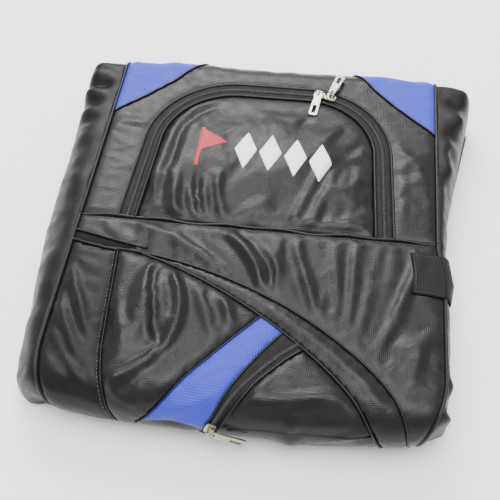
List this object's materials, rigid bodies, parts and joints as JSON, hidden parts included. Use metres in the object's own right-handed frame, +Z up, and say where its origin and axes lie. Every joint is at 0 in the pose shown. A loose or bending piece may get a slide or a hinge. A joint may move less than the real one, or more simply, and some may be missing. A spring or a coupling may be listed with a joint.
{
  "type": "golf travel bag",
  "caption": "Soft black nylon golf bag folded flat, with an arched zip pocket, curved lower pockets, blue inserts and a front fold that opens.",
  "frame": {"origin": "middle of the footprint, on the surface the folded bag lies on", "axes": "+Z up, +X to the right across the seams, +Y from the front fold to the rear fold"},
  "size_m": [0.436, 0.428, 0.0713],
  "materials": {
    "black_nylon": "satin ribbed weave",
    "blue_nylon": "satin woven",
    "foam": "soft wadding",
    "lining": "plain weave",
    "piping": "covered cord",
    "zip_tape": "knitted tape",
    "zip_teeth": "nylon coil",
    "webbing": "ribbed webbing",
    "red_thread": "satin stitch",
    "white_thread": "satin stitch",
    "nickel": "polished nickel plate"
  },
  "bodies": {
    "base_section": {"base_face_panel": "black_nylon", "base_padding": "foam", "base_lining_panel": "lining", "base_left_gusset": "black_nylon", "base_right_gusset": "black_nylon", "front_fold_lower": "black_nylon"},
    "top_section": {"top_lining_panel": "lining", "top_padding": "foam", "front_upper_panel": "black_nylon", "front_lower_panel": "black_nylon", "front_fold_upper": "black_nylon", "rear_fold": "black_nylon", "left_piping": "piping", "right_piping": "piping", "left_gusset": "black_nylon", "right_gusset": "black_nylon", "middle_lining_panel": "lining", "middle_padding": "foam", "middle_face_panel": "black_nylon", "middle_left_gusset": "black_nylon", "middle_right_gusset": "black_nylon", "blue_insert_left": "blue_nylon", "blue_insert_right": "blue_nylon", "upper_pocket_face": "black_nylon", "upper_zip_inner_tape": "zip_tape", "upper_zip_outer_tape": "zip_tape", "upper_zip_coil": "zip_teeth", "upper_pocket_inner_cord": "piping", "upper_pocket_outer_cord": "piping", "hem_binding": "piping", "badge_pennant": "red_thread", "badge_lozenges": "white_thread", "curved_gusset": "black_nylon", "curved_gusset_upper_cord": "piping", "curved_gusset_lower_cord": "piping", "blue_band": "blue_nylon", "diagonal_zip_tape": "zip_tape", "diagonal_zip_coil": "zip_teeth", "left_pocket_face": "black_nylon", "left_strip": "black_nylon", "lower_pocket_face": "black_nylon", "slit_pocket_lining": "lining", "loop_anchor_patch": "webbing", "side_loop": "webbing"},
    "upper_left_slider": {"upper_left_slider": "nickel"},
    "upper_left_pull": {"upper_left_pull_ring": "nickel", "upper_left_pull": "nickel"},
    "upper_right_slider": {"upper_right_slider": "nickel"},
    "upper_right_pull": {"upper_right_pull_ring": "nickel", "upper_right_pull": "nickel"},
    "diagonal_slider": {"diagonal_slider": "nickel"},
    "diagonal_pull": {"diagonal_pull_ring": "nickel", "diagonal_pull": "nickel"}
  },
  "joints": [
    {"name": "front_fold", "type": "hinge", "parent": "base_section", "child": "top_section", "pos_m": [0, -0.2034, 0.03], "axis": [1, 0, 0], "range_deg": [0, 174]},
    {"name": "upper_left_slide", "type": "slide", "parent": "top_section", "child": "upper_left_slider", "axis": [-1, 0, 0], "range_m": [0, 0.08]},
    {"name": "upper_left_pull_swing", "type": "hinge", "parent": "upper_left_slider", "child": "upper_left_pull", "pos_m": [0.04914, 0.17007, 0.0679], "axis": [-0.9877, 0.1564, 0], "range_deg": [0, 120]},
    {"name": "upper_right_turn", "type": "hinge", "parent": "top_section", "child": "upper_right_slider", "pos_m": [0.036, 0.0871, 0.0605], "axis": [0, 0, -1], "range_deg": [0, 70]},
    {"name": "upper_right_pull_swing", "type": "hinge", "parent": "upper_right_slider", "child": "upper_right_pull", "pos_m": [0.06126, 0.16721, 0.0679], "axis": [0.9537, -0.3007, 0], "range_deg": [0, 120]},
    {"name": "diagonal_slider_turn", "type": "hinge", "parent": "top_section", "child": "diagonal_slider", "pos_m": [-0.00694, -0.16859, 0.02611], "axis": [-0.9135, 0.256, 0.3161], "range_deg": [0, 15]},
    {"name": "diagonal_pull_swing", "type": "hinge", "parent": "diagonal_slider", "child": "diagonal_pull", "pos_m": [-0.013, -0.21085, 0.03934], "axis": [-0.4067, -0.221, -0.8864], "range_deg": [0, 120]}
  ]
}
